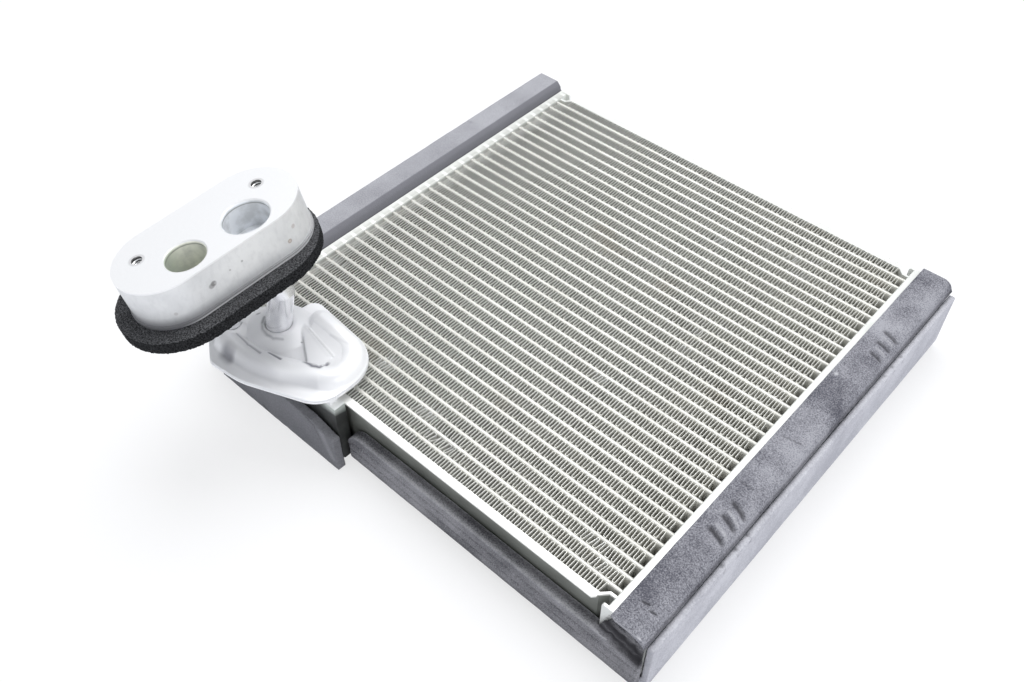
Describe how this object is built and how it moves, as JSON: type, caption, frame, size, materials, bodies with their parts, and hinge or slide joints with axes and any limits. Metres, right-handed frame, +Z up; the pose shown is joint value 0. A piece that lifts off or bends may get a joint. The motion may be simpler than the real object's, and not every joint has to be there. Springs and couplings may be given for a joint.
{
  "type": "automotive air conditioning evaporator",
  "caption": "Car air conditioning evaporator core: flat tubes and corrugated fins between side tanks, foam seals on its edges, and a ported block on a pressed connector at one corner.",
  "frame": {"origin": "on the surface that the part lies on, under the middle of its box", "axes": "+X along the tubes from the tank with the connector to the other tank, +Y across the tubes away from the connector's edge, +Z up through the core's thickness"},
  "size_m": [0.2842, 0.321, 0.1252],
  "materials": {
    "fins": "dull thin sheet",
    "tubes": "pale, as brazed",
    "braze_metal": "pale, as brazed",
    "pressed_metal": "smooth satin",
    "machined_metal": "machined, slightly worn",
    "grey_foam": "fine-celled foam, matt",
    "charcoal_foam": "coarse foam, matt"
  },
  "bodies": {
    "root": {"back_side_plate": "braze_metal", "block_foam_ring": "charcoal_foam", "connector_block": "machined_metal", "connector_lower_shell": "pressed_metal", "connector_upper_shell": "pressed_metal", "fin_pack": "fins", "front_foam_strip": "grey_foam", "front_left_foam_flap": "grey_foam", "front_side_plate": "braze_metal", "left_back_end_cap": "braze_metal", "left_front_end_cap": "braze_metal", "left_header_plate": "braze_metal", "left_side_foam": "grey_foam", "left_tank_baffles": "braze_metal", "left_tank_cover": "braze_metal", "left_tank_divider": "braze_metal", "left_top_foam": "grey_foam", "liquid_pipe": "pressed_metal", "lower_tube_row": "tubes", "right_back_end_cap": "braze_metal", "right_front_end_cap": "braze_metal", "right_header_plate": "braze_metal", "right_side_foam": "grey_foam", "right_tank_baffles": "braze_metal", "right_tank_cover": "braze_metal", "right_tank_divider": "braze_metal", "right_top_foam": "grey_foam", "side_duct_plate": "braze_metal", "side_duct_tray": "braze_metal", "suction_pipe": "pressed_metal", "upper_tube_row": "tubes"}
  },
  "joints": []
}
